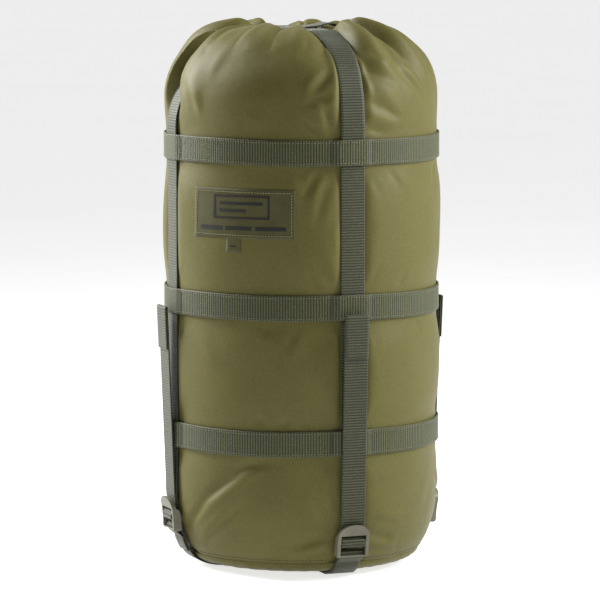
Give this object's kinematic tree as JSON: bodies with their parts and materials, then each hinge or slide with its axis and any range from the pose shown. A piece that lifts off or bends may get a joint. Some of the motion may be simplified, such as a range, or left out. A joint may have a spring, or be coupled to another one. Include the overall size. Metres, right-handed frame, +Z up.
{
  "type": "compression sack",
  "caption": "Filled round drawstring sack held by horizontal webbing bands and crossing straps that tighten through ladder locks low on its sides.",
  "frame": {"origin": "centre of the base, on the ground under the webbing", "axes": "+Z up along the sack, -Y towards the front strap, +X towards the right strap; the label is between the front and left straps"},
  "size_m": [0.3002, 0.3002, 0.5445],
  "materials": {
    "fabric": "coated woven nylon with a slight sheen",
    "webbing": "ribbed webbing",
    "cord": "braided cord",
    "cord_lock_plastic": "satin moulded plastic",
    "spring_steel": "bright wire",
    "label": "woven label with printed lines",
    "lock_plastic": "satin moulded plastic"
  },
  "bodies": {
    "sack": {"base_panel": "fabric", "sack_wall_lower": "fabric", "sack_wall_middle": "fabric", "base_webbing_front_back": "webbing", "base_webbing_left_right": "webbing", "band_lower": "webbing", "load_strap_lower_front": "webbing", "load_strap_lower_right": "webbing", "load_strap_lower_back": "webbing", "load_strap_lower_left": "webbing", "load_strap_upper_front": "webbing", "load_strap_upper_right": "webbing", "load_strap_upper_back": "webbing", "load_strap_upper_left": "webbing"},
    "top": {"sack_top": "fabric", "mouth_hem": "fabric", "drawcord": "cord", "band_upper": "webbing", "top_strap_front_back": "webbing", "top_strap_left_right": "webbing", "cord_lock_barrel": "cord_lock_plastic", "cord_lock_spring": "spring_steel"},
    "middle_band": {"band_middle": "webbing"},
    "label": {"label_patch": "label", "size_tab": "label"},
    "lock_plunger": {"cord_lock_plunger": "cord_lock_plastic"},
    "tail_front": {"strap_tail_front": "webbing"},
    "lock_front": {"ladder_lock_front": "lock_plastic", "strap_loop_front": "webbing"},
    "tail_right": {"strap_tail_right": "webbing"},
    "lock_right": {"ladder_lock_right": "lock_plastic", "strap_loop_right": "webbing"},
    "tail_back": {"strap_tail_back": "webbing"},
    "lock_back": {"ladder_lock_back": "lock_plastic", "strap_loop_back": "webbing"},
    "tail_left": {"strap_tail_left": "webbing"},
    "lock_left": {"ladder_lock_left": "lock_plastic", "strap_loop_left": "webbing"}
  },
  "joints": [
    {"name": "compress", "type": "slide", "parent": "sack", "child": "top", "axis": [0, 0, 1], "range_m": [-0.1, 0], "deforming": ["sack_wall_middle", "load_strap_upper_front", "load_strap_upper_right", "load_strap_upper_back", "load_strap_upper_left"]},
    {"name": "middle_band_travel", "type": "slide", "parent": "sack", "child": "middle_band", "axis": [0, 0, 1], "range_m": [-0.05, 0]},
    {"name": "label_travel", "type": "slide", "parent": "sack", "child": "label", "axis": [0, 0, 1], "range_m": [-0.085, 0]},
    {"name": "tail_front_travel", "type": "slide", "parent": "sack", "child": "tail_front", "axis": [0, -0.0432, 0.9991], "range_m": [0, 0.1]},
    {"name": "tail_right_travel", "type": "slide", "parent": "sack", "child": "tail_right", "axis": [0.0404, 0, 0.9992], "range_m": [0, 0.1]},
    {"name": "tail_back_travel", "type": "slide", "parent": "sack", "child": "tail_back", "axis": [0, 0.0416, 0.9991], "range_m": [0, 0.1]},
    {"name": "tail_left_travel", "type": "slide", "parent": "sack", "child": "tail_left", "axis": [-0.0395, 0, 0.9992], "range_m": [0, 0.1]},
    {"name": "lock_front_lift", "type": "hinge", "parent": "sack", "child": "lock_front", "pos_m": [0, -0.13255, 0.027], "axis": [1, 0, 0], "range_deg": [0, 24]},
    {"name": "lock_right_lift", "type": "hinge", "parent": "sack", "child": "lock_right", "pos_m": [0.13528, 0, 0.035], "axis": [0, 1, 0], "range_deg": [0, 24]},
    {"name": "lock_back_lift", "type": "hinge", "parent": "sack", "child": "lock_back", "pos_m": [0, 0.13402, 0.031], "axis": [-1, 0, 0], "range_deg": [0, 24]},
    {"name": "lock_left_lift", "type": "hinge", "parent": "sack", "child": "lock_left", "pos_m": [-0.1371, 0, 0.042], "axis": [0, -1, 0], "range_deg": [0, 24]},
    {"name": "lock_plunger_press", "type": "slide", "parent": "top", "child": "lock_plunger", "axis": [0.7071, -0.7071, 0], "range_m": [0, 0.003], "stiffness_N_per_m": 400, "springref_m": -0.002, "deforming": ["cord_lock_spring"]}
  ],
  "couplings": [
    {"joint": "middle_band_travel", "follows": "compress", "ratio": 0.467},
    {"joint": "label_travel", "follows": "compress", "ratio": 0.789},
    {"joint": "tail_front_travel", "follows": "compress", "ratio": -1},
    {"joint": "tail_right_travel", "follows": "compress", "ratio": -1},
    {"joint": "tail_back_travel", "follows": "compress", "ratio": -1},
    {"joint": "tail_left_travel", "follows": "compress", "ratio": -1}
  ]
}
